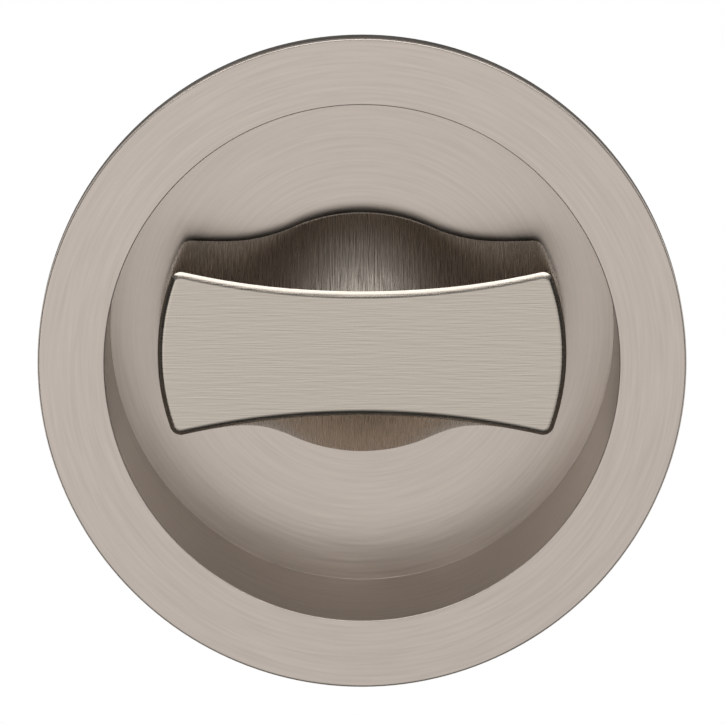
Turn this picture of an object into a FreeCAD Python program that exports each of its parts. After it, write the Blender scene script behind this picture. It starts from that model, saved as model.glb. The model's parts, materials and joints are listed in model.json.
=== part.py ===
import FreeCAD, Part
import Sketcher
import math
import os

# Inside trim of a privacy lock for a sliding pocket door: a round flush cup with a
# bow-tie thumb turn in its recess, and the detent, stop and spindle behind its floor.
# Millimetres. X runs to the right, Y into the door, Z up. The origin lies on the
# turn's axis, in the plane where the plate's back rests on the door's face.

doc = FreeCAD.newDocument("privacy_trim")

# Driving sizes, and values that follow from them

SIZES = [
    ("plate_radius", 31.75, "round plate"),
    ("plate_thickness", 1.5, "plate, from the door's face to its front"),
    ("plate_edge", 0.2, "rounding of the plate's front edge"),
    ("barrel_radius", 26.3, "barrel that goes into the door's cross bore"),
    ("barrel_wall", 1.1, "barrel's wall at the recess's mouth"),
    ("recess_depth", 11.0, "from the plate's front to the recess's floor"),
    ("recess_draft", 0.1, "recess narrows by this down to its floor"),
    ("mouth_edge", 0.15, "rounding of the recess's mouth"),
    ("floor_thickness", 1.2, "floor of the cup"),
    ("carrier_inset", 0.5, "carrier plate's edge inside the barrel's"),
    ("carrier_thickness", 1.6, "carrier plate"),
    ("carrier_rim", 1.6, "width of the carrier's raised rim"),
    ("rib_width", 1.6, "ribs between the carrier's middle and its rim"),
    ("rib_height", 0.6, "ribs and rim above the carrier's back"),
    ("rib_start", 10.6, "inner end of the ribs, from the axis"),
    ("tapped_skin", 0.4, "carrier left in front of the spring screw's hole"),
    ("mount_spacing", 28.0, "between the two mounting screws"),
    ("mount_boss_radius", 4.6, "bosses round the mounting screws"),
    ("mount_boss_height", 0.8, "bosses above the carrier's back"),
    ("screw_radius", 2.0, "mounting screw's thread"),
    ("screw_neck_radius", 1.75, "mounting screw's neck, on which its keeper rides"),
    ("screw_length", 25.0, "mounting screw over all"),
    ("screw_head_radius", 3.75, "countersunk head"),
    ("screw_head_rim", 0.3, "straight rim of the countersunk head"),
    ("screw_clearance", 0.15, "round the mounting screws and their heads"),
    ("keeper_radius", 3.6, "washer that keeps a mounting screw in place"),
    ("keeper_thickness", 0.8, "washer that keeps a mounting screw in place"),
    ("keeper_thread_gap", 2.1, "between that washer and the screw's thread"),
    ("drive_width", 1.0, "arms of the cross recesses"),
    ("drive_reach", 2.0, "arms of the cross recesses, from the screw's axis"),
    ("drive_depth", 1.3, "cross recesses"),
    ("stem_radius", 5.0, "stem of the turn"),
    ("running_clearance", 0.05, "radial clearance of what turns or slides in a bore"),
    ("end_play", 0.1, "axial clearance between what turns and what stays"),
    ("bushing_radius", 6.2, "outside of the bushing's sleeve"),
    ("bushing_flange_radius", 8.0, "bushing's flange in front of the floor"),
    ("bushing_flange_thickness", 0.6, "bushing's flange"),
    ("bushing_lip_radius", 6.9, "lip that is rolled over behind the carrier"),
    ("bushing_lip_height", 0.3, "rolled lip"),
    ("washer_radius", 7.9, "flat washers on the stem"),
    ("washer_clearance", 0.1, "between the washers' bores and the stem"),
    ("thrust_washer_thickness", 0.3, "plastic washer under the turn"),
    ("flat_washer_thickness", 0.4, "steel washer under the retaining ring"),
    ("turn_sink", 2.6, "turn's front face below the plate's front"),
    ("turn_half_length", 20.1, "front face, middle of an end"),
    ("turn_end_bow", 1.6, "front face, bow of the ends"),
    ("turn_corner_height", 8.2, "front face, corners, from the middle"),
    ("turn_waist", 6.05, "front face, half height in the middle"),
    ("hub_end_flare", 0.1, "base longer than the front face at either end"),
    ("hub_end_bow", 2.5, "base, bow of the ends"),
    ("hub_corner_height", 9.0, "base, corners, from the middle"),
    ("hub_valley_across", 13.6, "base, lowest place of the long edges"),
    ("hub_valley_height", 8.9, "base, half height at that place"),
    ("hub_height", 11.8, "base, half height in the middle"),
    ("land_height", 0.6, "straight band round the base"),
    ("turn_corner_round", 1.1, "rounding of the turn's four upright edges"),
    ("turn_front_round", 1.0, "rounding round the front face"),
    ("stem_press_depth", 4.5, "stem's pressed end in the turn"),
    ("stem_chamfer", 0.4, "stem's ends"),
    ("stem_flat_half", 4.3, "axis to the stem's two flats"),
    ("stem_tail", 0.8, "stem behind the retaining ring"),
    ("cam_half", 6.5, "axis to the four flats of the square cam"),
    ("cam_corner_round", 1.5, "corners of the cam"),
    ("cam_thickness", 1.6, "cam"),
    ("stop_screw_gap", 0.6, "between the stop washer and the mounting screws"),
    ("stop_hub_radius", 8.0, "stop washer at its notch"),
    ("stop_thickness", 0.8, "stop washer"),
    ("stop_lug_radius", 1.2, "lug that ends the turn's travel"),
    ("stop_clearance", 0.1, "between the lug and the notch at either end"),
    ("wave_thickness", 0.2, "sheet of the wave washer"),
    ("wave_height", 0.5, "wave washer as squeezed in its place"),
    ("ring_radius", 7.0, "retaining ring"),
    ("ring_groove_radius", 4.1, "bottom of the retaining ring's groove"),
    ("ring_thickness", 0.6, "retaining ring"),
    ("ring_groove_play", 0.05, "each side of the retaining ring in its groove"),
    ("ring_half_mouth", 2.9, "half the retaining ring's open side"),
    ("ring_relief_radius", 1.8, "widened stretches inside the retaining ring"),
    ("ring_relief_angle", 40.0, "degrees, those stretches above the level"),
    ("spindle_side", 5.0, "square spindle"),
    ("spindle_length", 25.3, "square spindle"),
    ("spindle_fit", 0.05, "each side of the spindle in its socket"),
    ("spindle_chamfer", 0.6, "spindle's far end"),
    ("socket_depth", 7.9, "square socket in the stem's end"),
    ("pin_radius", 0.8, "roll pin through stem and spindle"),
    ("pin_bore_radius", 0.45, "inside of the roll pin"),
    ("pin_slit", 0.3, "roll pin's slit"),
    ("pin_depth", 6.4, "roll pin's axis, from the stem's end"),
    ("pin_recess", 0.1, "roll pin's ends below the stem's skin"),
    ("wire_radius", 0.5, "spring wire"),
    ("wire_gap", 0.05, "between the wire and what it bears on"),
    ("wire_tip_bend", 1.5, "bend of the wire's two tips"),
    ("wire_tip_height", 8.0, "start of the tips' bends above the axis"),
    ("post_radius", 2.6, "spring's post"),
    ("post_seat_radius", 4.2, "step round the post that the wire lies on"),
    ("post_stop_gap", 0.4, "between the spring's washer and the stop washer"),
    ("guide_radius", 1.3, "two guides outside the wire's legs"),
    ("spring_washer_radius", 4.2, "washer over the wire's bend"),
    ("spring_washer_thickness", 0.6, "washer over the wire's bend"),
    ("spring_screw_radius", 1.25, "shank of the spring's screw"),
    ("spring_screw_length", 2.6, "its shank below the washer"),
    ("spring_screw_head_radius", 2.3, "its pan head"),
    ("spring_screw_head_height", 1.4, "its pan head"),

    ("mouth_radius", "=barrel_radius - barrel_wall", "recess at the plate's front"),
    ("floor_radius", "=mouth_radius - recess_draft", "recess at its floor"),
    ("carrier_radius", "=barrel_radius - carrier_inset", "carrier plate"),
    ("turn_corner_across", "=turn_half_length - turn_end_bow", "front face, corners"),
    ("hub_half_length", "=turn_half_length + hub_end_flare", "base, middle of an end"),
    ("hub_corner_across", "=hub_half_length - hub_end_bow", "base, corners"),
    ("stop_radius", "=mount_spacing / 2 - screw_radius - stop_screw_gap", "stop washer's arc"),
    ("stop_lug_level", "=stop_radius - stop_lug_radius", "lug's middle above the axis"),
    ("post_level", "=stop_radius + post_stop_gap + spring_washer_radius", "post below the axis"),
    ("leg_across", "=cam_half + wire_gap + wire_radius", "axis to the spring's legs"),
    ("bend_reach", "=post_radius + wire_gap + wire_radius", "post's middle to the wire's"),
    ("bend_level", "=post_level + bend_reach - leg_across", "bend's middle below the axis"),
    ("keyed_radius", "=stem_radius + running_clearance", "bores keyed on the stem"),
    ("keyed_flat", "=stem_flat_half + running_clearance", "axis to those bores' flats"),

    ("floor_depth", "=recess_depth - plate_thickness", "depths, from the door's face"),
    ("carrier_front", "=floor_depth + floor_thickness", ""),
    ("carrier_back", "=carrier_front + carrier_thickness", ""),
    ("cam_front", "=carrier_back + bushing_lip_height + end_play", ""),
    ("wire_depth", "=cam_front + cam_thickness / 2", ""),
    ("wire_back", "=wire_depth + wire_radius + wire_gap", ""),
    ("stop_front", "=cam_front + cam_thickness", ""),
    ("wave_front", "=stop_front + stop_thickness", ""),
    ("flat_front", "=wave_front + wave_height", ""),
    ("ring_front", "=flat_front + flat_washer_thickness", ""),
    ("groove_front", "=ring_front - ring_groove_play", ""),
    ("groove_back", "=ring_front + ring_thickness + ring_groove_play", ""),
    ("stem_end", "=groove_back + stem_tail", ""),
    ("bushing_front", "=floor_depth - bushing_flange_thickness", ""),
    ("turn_base", "=bushing_front - end_play - thrust_washer_thickness", ""),
    ("turn_front", "=turn_sink - plate_thickness", ""),
    ("band_front", "=turn_base - land_height", ""),
    ("seat_height", "=wire_depth - wire_radius - carrier_back", "post's step above the carrier"),
    ("keeper_front", "=carrier_back + mount_boss_height", ""),
    ("thread_front", "=keeper_front + keeper_thickness + keeper_thread_gap", ""),
]

sheet = doc.addObject("Spreadsheet::Sheet", "size")
for row, (alias, number, note) in enumerate(SIZES, 1):
    sheet.set("A%d" % row, note)
    sheet.set("B%d" % row, str(number))
    sheet.setAlias("B%d" % row, alias)
doc.recompute()


def size(alias):
    """The number in the sheet's cell of that name."""
    return float(sheet.get(alias))


# Helpers for sketches and features

V = FreeCAD.Vector
FRONT_PLANE = "XZ_Plane"
SIDE_PLANE = "YZ_Plane"
TOP_PLANE = "XY_Plane"
ORIGIN_POINT = (-1, 1)
# A sketch counts the places on an edge in this order
POINT = {name: number for number, name in enumerate(("edge", "start", "end", "middle"))}
NEAR = 1e-6
PAST_STEM = "4 * size.stem_radius"


def new_body(name):
    """An empty body, named after the piece that it becomes."""
    body = doc.addObject("PartDesign::Body", name)
    body.Label = name
    return body


def new_sketch(body, name, role, offset="0"):
    """A sketch on one of the body's own planes, moved along that plane's normal."""
    plane = [f for f in body.Origin.OriginFeatures if f.Role == role][0]
    sketch = body.newObject("Sketcher::SketchObject", name)
    sketch.AttachmentSupport = [(plane, "")]
    sketch.MapMode = "FlatFace"
    sketch.setExpression("AttachmentOffset.Base.z", offset)
    return sketch


def at_depth(depth):
    """The front plane's normal points out of the door, so a depth counts against it."""
    return "-(%s)" % depth


def hold_point(sketch, edge, end, across, up):
    """Ties one point of a sketch to two expressions, counted from the origin."""
    here = sketch.getPoint(edge, end)
    for kind, value, text in (("DistanceX", here.x, across), ("DistanceY", here.y, up)):
        index = sketch.addConstraint(Sketcher.Constraint(kind, *ORIGIN_POINT, edge, end, value))
        sketch.setExpression("Constraints[%d]" % index, text)


def draw_circle(sketch, radius, across="0", up="0"):
    """A circle whose middle and radius are expressions."""
    edge = sketch.addGeometry(Part.Circle(V(1, 1, 0), V(0, 0, 1), 1))
    index = sketch.addConstraint(Sketcher.Constraint("Radius", edge, 1))
    sketch.setExpression("Constraints[%d]" % index, radius)
    hold_point(sketch, edge, POINT["middle"], across, up)


def draw_corners(sketch, corners):
    """A closed outline of straight edges through corners that are pairs of expressions."""
    count = len(corners)
    first = sketch.GeometryCount
    ring = [V(math.cos(2 * math.pi * i / count), math.sin(2 * math.pi * i / count), 0)
            for i in range(count)]
    for i in range(count):
        sketch.addGeometry(Part.LineSegment(ring[i], ring[(i + 1) % count]))
    for i in range(count):
        after = first + (i + 1) % count
        sketch.addConstraint(
            Sketcher.Constraint("Coincident", first + i, POINT["end"], after, POINT["start"]))
    for i, (across, up) in enumerate(corners):
        hold_point(sketch, first + i, POINT["start"], across, up)


def draw_rectangle(sketch, left, right, low, high):
    """A rectangle between four expressions."""
    draw_corners(sketch, [(left, low), (right, low), (right, high), (left, high)])


def revolve(body, name, corners):
    """A turned solid: corners are (radius, depth) pairs, the axis is Y."""
    sketch = new_sketch(body, name + "_profile", TOP_PLANE)
    draw_corners(sketch, corners)
    turned = body.newObject("PartDesign::Revolution", name)
    turned.Profile = sketch
    turned.ReferenceAxis = (sketch, ["V_Axis"])
    turned.Angle = 360
    doc.recompute()
    return turned


def pad(body, name, sketch, length):
    """Material from the sketch's plane into the door."""
    feature = body.newObject("PartDesign::Pad", name)
    feature.Profile = sketch
    feature.Reversed = True
    feature.setExpression("Length", length)
    doc.recompute()
    return feature


def pocket(body, name, sketch, length=None, outwards=False, both_ways=False):
    """A cut into the door from the sketch's plane, or out of it, or both ways."""
    before = body.Shape.Volume
    feature = body.newObject("PartDesign::Pocket", name)
    feature.Profile = sketch
    feature.Reversed = outwards
    if length is None:
        feature.Type = "ThroughAll"
    else:
        feature.setExpression("Length", length)
    feature.Midplane = both_ways
    doc.recompute()
    if not body.Shape.Volume < before:
        raise RuntimeError(name + " cuts nothing")
    return feature


def edges_where(feature, test):
    """Names of the feature's edges that a test of the edge picks."""
    return ["Edge%d" % i for i, edge in enumerate(feature.Shape.Edges, 1) if test(edge)]


def round_edges(body, name, feature, edges, radius):
    """A fillet on some of the last feature's edges."""
    fillet = body.newObject("PartDesign::Fillet", name)
    fillet.Base = (feature, edges)
    fillet.setExpression("Radius", radius)
    doc.recompute()
    return fillet


def bevel_edges(body, name, feature, edges, width):
    """A chamfer on some of the last feature's edges."""
    chamfer = body.newObject("PartDesign::Chamfer", name)
    chamfer.Base = (feature, edges)
    chamfer.setExpression("Size", width)
    doc.recompute()
    return chamfer


def countersunk_holes(body, name, depth, mouth_radius):
    """The two mounting screws' holes, sunk from the front at the given depth."""
    centres = new_sketch(body, name + "_centres", FRONT_PLANE, at_depth(depth))
    for side in (-1, 1):
        draw_circle(centres, "size.screw_radius", "%d * size.mount_spacing / 2" % side)
    doc.recompute()
    before = body.Shape.Volume
    hole = body.newObject("PartDesign::Hole", name)
    hole.Profile = centres
    hole.ThreadType = "None"
    hole.HoleCutType = "Countersink"
    hole.HoleCutCountersinkAngle = 90
    hole.HoleCutCustomValues = True
    hole.DepthType = "ThroughAll"
    hole.setExpression("Diameter", "2 * (size.screw_radius + size.screw_clearance)")
    hole.setExpression("HoleCutDiameter", "2 * (%s)" % mouth_radius)
    doc.recompute()
    if not body.Shape.Volume < before:
        raise RuntimeError(name + " cuts nothing")


def cross_recess(body, name):
    """A cross-shaped drive recess in the face at depth zero."""
    slim, long = "size.drive_width / 2", "size.drive_reach"
    for tag, wide, tall in (("upright", slim, long), ("level", long, slim)):
        arm = new_sketch(body, "%s_%s_outline" % (name, tag), FRONT_PLANE)
        draw_rectangle(arm, "-" + wide, wide, "-" + tall, tall)
        pocket(body, "%s_%s" % (name, tag), arm, "size.drive_depth")


def place(body, across="0", depth="0", up="0"):
    """Moves a finished piece to its seat."""
    body.setExpression("Placement.Base.x", across)
    body.setExpression("Placement.Base.y", depth)
    body.setExpression("Placement.Base.z", up)
    doc.recompute()


def make_cup():
    """Drawn brass cup: flat plate, nearly straight recess wall and flat floor."""
    body = new_body("cup")
    shell = revolve(body, "cup_shell", [
        ("0", "size.floor_depth"),
        ("size.floor_radius", "size.floor_depth"),
        ("size.mouth_radius", "-size.plate_thickness"),
        ("size.plate_radius", "-size.plate_thickness"),
        ("size.plate_radius", "0"),
        ("size.barrel_radius", "0"),
        ("size.barrel_radius", "size.carrier_front"),
        ("0", "size.carrier_front"),
    ])

    def front_rim(edge, radius):
        box = edge.BoundBox
        return abs(box.YMax + size("plate_thickness")) < NEAR and abs(box.XMax - radius) < NEAR

    rim = edges_where(shell, lambda edge: front_rim(edge, size("plate_radius")))
    rounded = round_edges(body, "plate_rounding", shell, rim, "size.plate_edge")
    mouth = edges_where(rounded, lambda edge: front_rim(edge, size("mouth_radius")))
    round_edges(body, "mouth_rounding", rounded, mouth, "size.mouth_edge")
    bore = new_sketch(body, "cup_bore_outline", FRONT_PLANE, at_depth("size.floor_depth"))
    draw_circle(bore, "size.bushing_radius")
    pocket(body, "cup_bore", bore)
    sinks = new_sketch(body, "head_seats_outline", FRONT_PLANE, at_depth("size.floor_depth"))
    for side in (-1, 1):
        draw_circle(sinks, "size.screw_head_radius + size.screw_clearance",
                    "%d * size.mount_spacing / 2" % side)
    pocket(body, "head_seats", sinks, "size.screw_head_rim")
    countersunk_holes(body, "cup_screw_holes", "size.floor_depth + size.screw_head_rim",
                      "size.screw_head_radius + size.screw_clearance")


def make_carrier():
    """Die-cast plate behind the cup's floor that carries the spring and the stop."""
    body = new_body("carrier_plate")
    disc = new_sketch(body, "disc_outline", FRONT_PLANE)
    draw_circle(disc, "size.carrier_radius")
    pad(body, "disc", disc, "size.carrier_thickness")
    rim = new_sketch(body, "rim_outline", FRONT_PLANE, at_depth("size.carrier_thickness"))
    draw_circle(rim, "size.carrier_radius")
    draw_circle(rim, "size.carrier_radius - size.carrier_rim")
    pad(body, "rim", rim, "size.rib_height")
    rib = new_sketch(body, "rib_outline", FRONT_PLANE, at_depth("size.carrier_thickness"))
    inner = "size.rib_start"
    outer = "(size.carrier_radius - size.carrier_rim / 2)"
    half = "size.rib_width / 2"
    along = ["(%s * cos(45deg) %s %s * cos(45deg))" % (reach, sign, half)
             for reach in (inner, outer) for sign in "-+"]
    draw_corners(rib, [(along[0], along[1]), (along[2], along[3]),
                       (along[3], along[2]), (along[1], along[0])])
    first_rib = pad(body, "rib", rib, "size.rib_height")
    ribs = body.newObject("PartDesign::PolarPattern", "ribs")
    ribs.Originals = [first_rib]
    ribs.Axis = (rib, ["N_Axis"])
    ribs.Angle = 360
    ribs.Occurrences = 4
    body.Tip = ribs
    doc.recompute()
    bosses = new_sketch(body, "mount_bosses_outline", FRONT_PLANE, at_depth("size.carrier_thickness"))
    for side in (-1, 1):
        draw_circle(bosses, "size.mount_boss_radius", "%d * size.mount_spacing / 2" % side)
    pad(body, "mount_bosses", bosses, "size.mount_boss_height")
    seat = new_sketch(body, "post_seat_outline", FRONT_PLANE, at_depth("size.carrier_thickness"))
    draw_circle(seat, "size.post_seat_radius", "0", "-size.post_level")
    pad(body, "post_seat", seat, "size.seat_height")
    posts = new_sketch(body, "posts_outline", FRONT_PLANE, at_depth("size.carrier_thickness"))
    draw_circle(posts, "size.post_radius", "0", "-size.post_level")
    for side in (-1, 1):
        draw_circle(posts, "size.guide_radius",
                    "%d * (size.leg_across + size.wire_radius + size.wire_gap + size.guide_radius)" % side,
                    "-size.bend_level")
    pad(body, "posts", posts, "size.seat_height + 2 * size.wire_radius + size.wire_gap")
    lug = new_sketch(body, "stop_lug_outline", FRONT_PLANE, at_depth("size.carrier_thickness"))
    draw_circle(lug, "size.stop_lug_radius", "0", "size.stop_lug_level")
    pad(body, "stop_lug", lug, "size.wave_front - size.carrier_back")
    bore = new_sketch(body, "carrier_bore_outline", FRONT_PLANE)
    draw_circle(bore, "size.bushing_radius")
    pocket(body, "carrier_bore", bore)
    tapped = new_sketch(body, "spring_screw_hole_outline", FRONT_PLANE, at_depth("size.tapped_skin"))
    draw_circle(tapped, "size.spring_screw_radius", "0", "-size.post_level")
    pocket(body, "spring_screw_hole", tapped)
    countersunk_holes(body, "carrier_screw_holes", "0",
                      "size.screw_head_radius + size.screw_clearance"
                      " + size.screw_head_rim - size.floor_thickness")
    place(body, depth="size.carrier_front")


def make_bushing():
    """Brass bushing: flange on the floor, lip rolled over behind the carrier plate."""
    body = new_body("stem_bushing")
    bore = "size.keyed_radius"
    sleeve = "size.bushing_flange_thickness + size.floor_thickness + size.carrier_thickness"
    revolve(body, "bushing_turned", [
        (bore, "0"),
        ("size.bushing_flange_radius", "0"),
        ("size.bushing_flange_radius", "size.bushing_flange_thickness"),
        ("size.bushing_radius", "size.bushing_flange_thickness"),
        ("size.bushing_radius", sleeve),
        ("size.bushing_lip_radius", sleeve),
        ("size.bushing_lip_radius", "%s + size.bushing_lip_height" % sleeve),
        (bore, "%s + size.bushing_lip_height" % sleeve),
    ])
    place(body, depth="size.bushing_front")


def make_washer(name, thickness, depth):
    """A flat washer on the stem."""
    body = new_body(name)
    outline = new_sketch(body, name + "_outline", FRONT_PLANE)
    draw_circle(outline, "size.washer_radius")
    draw_circle(outline, "size.stem_radius + size.washer_clearance")
    pad(body, name + "_blank", outline, thickness)
    place(body, depth=depth)
    return body


# The turn's two outlines. Each long edge is a height over the distance from the
# middle, and both are cut at the same distances, so that the faces between them run true.


def front_height(x):
    """Front face: one shallow hollow arc through the corners and the waist."""
    rise = size("turn_corner_height") - size("turn_waist")
    radius = (size("turn_corner_across") ** 2 + rise ** 2) / (2 * rise)
    return size("turn_waist") + radius - math.sqrt(radius ** 2 - x ** 2)


def base_height(x):
    """Base: a round swelling in the middle, a hollow arc beside it, then nearly straight."""
    x = abs(x)
    across = size("hub_valley_across")
    valley = size("hub_valley_height")
    swell = size("hub_height") - valley
    radius = (across ** 2 + swell ** 2) / (4 * swell)
    if x < across / 2:
        return size("hub_height") - radius + math.sqrt(radius ** 2 - x ** 2)
    if x < across:
        return valley + radius - math.sqrt(radius ** 2 - (x - across) ** 2)
    run = size("hub_corner_across") - across
    rise = size("hub_corner_height") - valley
    flat_radius = (run ** 2 + rise ** 2) / (2 * rise)
    return valley + flat_radius - math.sqrt(flat_radius ** 2 - (x - across) ** 2)


def end_at(sketch, edge, spot):
    """Which end of a sketch's arc lies at a spot. A clockwise arc is stored turned round."""
    near = sketch.getPoint(edge, POINT["start"]).distanceToPoint(V(*spot, 0)) < NEAR
    return POINT["start"] if near else POINT["end"]


def draw_turn_outline(sketch, height, level):
    """Two long edges of five arcs each, and two bowed ends, at the front or at the base."""
    across = size(level + "_corner_across")
    joints = [across, size("hub_valley_across"), size("hub_valley_across") / 2]
    stations = joints + [-x for x in reversed(joints)]
    loop = [(x, height(x)) for x in stations] + [(-x, -height(x)) for x in stations]
    for (x, z), (x_next, z_next) in zip(loop, loop[1:] + loop[:1]):
        if x == x_next:
            middle = (math.copysign(size(level + "_half_length"), x), 0)
        else:
            middle = ((x + x_next) / 2, math.copysign(height((x + x_next) / 2), z))
        sketch.addGeometry(Part.Arc(V(x, z, 0), V(*middle, 0), V(x_next, z_next, 0)))
    for edge, spot in enumerate(loop):
        here = end_at(sketch, edge, spot)
        before = (edge - 1) % len(loop)
        sketch.addConstraint(
            Sketcher.Constraint("Coincident", before, end_at(sketch, before, spot), edge, here))
        if abs(spot[0]) == across:
            right, top = [value / abs(value) for value in spot]
            hold_point(sketch, edge, here, "%d * size.%s_corner_across" % (right, level),
                       "%d * size.%s_corner_height" % (top, level))


def make_thumbturn():
    """Forged turn: a bow-tie front face that flares down to a wider hub at its base."""
    body = new_body("thumbturn")
    front = new_sketch(body, "front_outline", FRONT_PLANE, at_depth("size.turn_front"))
    draw_turn_outline(front, front_height, "turn")
    base = new_sketch(body, "base_outline", FRONT_PLANE, at_depth("size.band_front"))
    draw_turn_outline(base, base_height, "hub")
    band = new_sketch(body, "band_outline", FRONT_PLANE, at_depth("size.band_front"))
    draw_turn_outline(band, base_height, "hub")
    doc.recompute()
    grip = body.newObject("PartDesign::AdditiveLoft", "grip")
    grip.Profile = front
    grip.Sections = [base]
    grip.Ruled = True
    doc.recompute()
    land = pad(body, "land", band, "size.land_height")
    last_joint = (size("hub_valley_across") + size("hub_corner_across")) / 2

    def is_upright(edge):
        box = edge.BoundBox
        return min(abs(box.XMin), abs(box.XMax)) > last_joint and box.YLength > NEAR \
            and abs(box.Center.z) > size("turn_waist")

    uprights = edges_where(land, is_upright)
    corners = round_edges(body, "corner_rounding", land, uprights, "size.turn_corner_round")
    face_edges = edges_where(corners, lambda edge: abs(edge.BoundBox.YMax - size("turn_front")) < NEAR)
    round_edges(body, "front_rounding", corners, face_edges, "size.turn_front_round")
    socket = new_sketch(body, "stem_socket_outline", FRONT_PLANE, at_depth("size.turn_base"))
    draw_circle(socket, "size.stem_radius")
    pocket(body, "stem_socket", socket, "size.stem_press_depth", outwards=True)


def make_cam():
    """Square detent cam, keyed on the stem's flats."""
    body = new_body("detent_cam")
    outline = new_sketch(body, "cam_outline", FRONT_PLANE)
    draw_rectangle(outline, "-size.cam_half", "size.cam_half", "-size.cam_half", "size.cam_half")
    blank = pad(body, "cam_blank", outline, "size.cam_thickness")
    corners = edges_where(blank, lambda edge: edge.BoundBox.YLength > NEAR)
    round_edges(body, "cam_rounding", blank, corners, "size.cam_corner_round")
    cut_keyed_bore(body)
    place(body, depth="size.cam_front")


def cut_keyed_bore(body):
    """A round bore with two flats, to fit the stem."""
    outline = new_sketch(body, body.Name + "_bore_outline", FRONT_PLANE)
    radius = size("keyed_radius")
    flat = size("keyed_flat")
    reach = math.sqrt(radius ** 2 - flat ** 2)
    for side in (1, -1):
        outline.addGeometry(
            Part.LineSegment(V(side * flat, -side * reach, 0), V(side * flat, side * reach, 0)))
        outline.addGeometry(Part.Arc(V(side * flat, side * reach, 0), V(0, side * radius, 0),
                                     V(-side * flat, side * reach, 0)))
    reach_text = "sqrt(size.keyed_radius ^ 2 - size.keyed_flat ^ 2)"
    for edge, side in ((0, 1), (2, -1)):
        across = "%d * size.keyed_flat" % side
        hold_point(outline, edge, POINT["start"], across, "%d * %s" % (-side, reach_text))
        hold_point(outline, edge, POINT["end"], across, "%d * %s" % (side, reach_text))
    pocket(body, body.Name + "_bore", outline)


def make_stop_washer():
    """Keyed washer with a quarter-turn notch that runs against the carrier's lug."""
    body = new_body("stop_washer")
    outline = new_sketch(body, "stop_outline", FRONT_PLANE)
    draw_circle(outline, "size.stop_radius")
    pad(body, "stop_blank", outline, "size.stop_thickness")
    notch = new_sketch(body, "notch_outline", FRONT_PLANE)
    side = "(size.stop_lug_radius + size.stop_clearance)"
    draw_rectangle(notch, "-2 * size.stop_radius", side, "-" + side, "2 * size.stop_radius")
    pocket(body, "notch", notch)
    middle = new_sketch(body, "stop_hub_outline", FRONT_PLANE)
    draw_circle(middle, "size.stop_hub_radius")
    pad(body, "stop_hub", middle, "size.stop_thickness")
    cut_keyed_bore(body)
    place(body, depth="size.stop_front")


def make_wave_washer():
    """Three-wave spring washer that draws the stem back and gives the turn its drag."""
    inner = size("stem_radius") + size("washer_clearance")
    outer = size("washer_radius")
    swing = (size("wave_height") - size("wave_thickness")) / 2
    waves = 3
    stations = 12 * waves

    def wavy_circle(radius):
        points = []
        for i in range(stations):
            angle = 2 * math.pi * i / stations
            depth = swing * (1 + math.cos(waves * angle))
            points.append(V(radius * math.cos(angle), depth, radius * math.sin(angle)))
        curve = Part.BSplineCurve()
        curve.interpolate(points, PeriodicFlag=True)
        return curve.toShape()

    sheet_metal = Part.makeRuledSurface(wavy_circle(inner), wavy_circle(outer))
    washer = doc.addObject("Part::Feature", "wave_washer")
    washer.Label = "wave_washer"
    washer.Shape = sheet_metal.extrude(V(0, size("wave_thickness"), 0))
    place(washer, depth="size.wave_front")


def make_retaining_ring():
    """Push-on ring with an open side and three bearing stretches in the stem's groove."""
    body = new_body("retaining_ring")
    outline = new_sketch(body, "ring_outline", FRONT_PLANE)
    draw_circle(outline, "size.ring_radius")
    draw_circle(outline, "size.ring_groove_radius + size.running_clearance")
    pad(body, "ring_blank", outline, "size.ring_thickness")
    mouth = new_sketch(body, "ring_mouth_outline", FRONT_PLANE)
    draw_rectangle(mouth, "-size.ring_half_mouth", "size.ring_half_mouth", "-2 * size.ring_radius", "0")
    pocket(body, "ring_mouth", mouth)
    reliefs = new_sketch(body, "ring_reliefs_outline", FRONT_PLANE)
    for side in (-1, 1):
        draw_circle(reliefs, "size.ring_relief_radius",
                    "%d * size.ring_groove_radius * cos(size.ring_relief_angle * 1deg)" % side,
                    "size.ring_groove_radius * sin(size.ring_relief_angle * 1deg)")
    pocket(body, "ring_reliefs", reliefs)
    place(body, depth="size.ring_front")


def make_stem():
    """Turned steel stem: pressed end, running length, flats, ring groove and socket."""
    body = new_body("stem")
    place(body, depth="size.turn_base")
    front = "(-size.stem_press_depth + size.end_play)"
    groove_front = "(size.groove_front - size.turn_base)"
    groove_back = "(size.groove_back - size.turn_base)"
    tail = "(size.stem_end - size.turn_base)"
    revolve(body, "stem_turned", [
        ("0", front),
        ("size.stem_radius - size.stem_chamfer", front),
        ("size.stem_radius", "%s + size.stem_chamfer" % front),
        ("size.stem_radius", groove_front),
        ("size.ring_groove_radius", groove_front),
        ("size.ring_groove_radius", groove_back),
        ("size.stem_radius", groove_back),
        ("size.stem_radius", "%s - size.stem_chamfer" % tail),
        ("size.stem_radius - size.stem_chamfer", tail),
        ("0", tail),
    ])
    flats = new_sketch(body, "flats_outline", FRONT_PLANE, at_depth("size.cam_front - size.turn_base"))
    for side in (-1, 1):
        draw_rectangle(flats, "%d * size.stem_flat_half" % side, "%d * 2 * size.stem_radius" % side,
                       "-2 * size.stem_radius", "2 * size.stem_radius")
    pocket(body, "flats", flats)
    socket = new_sketch(body, "socket_outline", FRONT_PLANE, at_depth("%s - size.socket_depth" % tail))
    half = "(size.spindle_side / 2 + size.spindle_fit)"
    draw_rectangle(socket, "-" + half, half, "-" + half, half)
    pocket(body, "socket", socket)
    pin_hole = new_sketch(body, "stem_pin_hole_outline", TOP_PLANE)
    draw_circle(pin_hole, "size.pin_radius", "0", "%s - size.pin_depth" % tail)
    pocket(body, "stem_pin_hole", pin_hole, PAST_STEM, both_ways=True)


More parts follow.
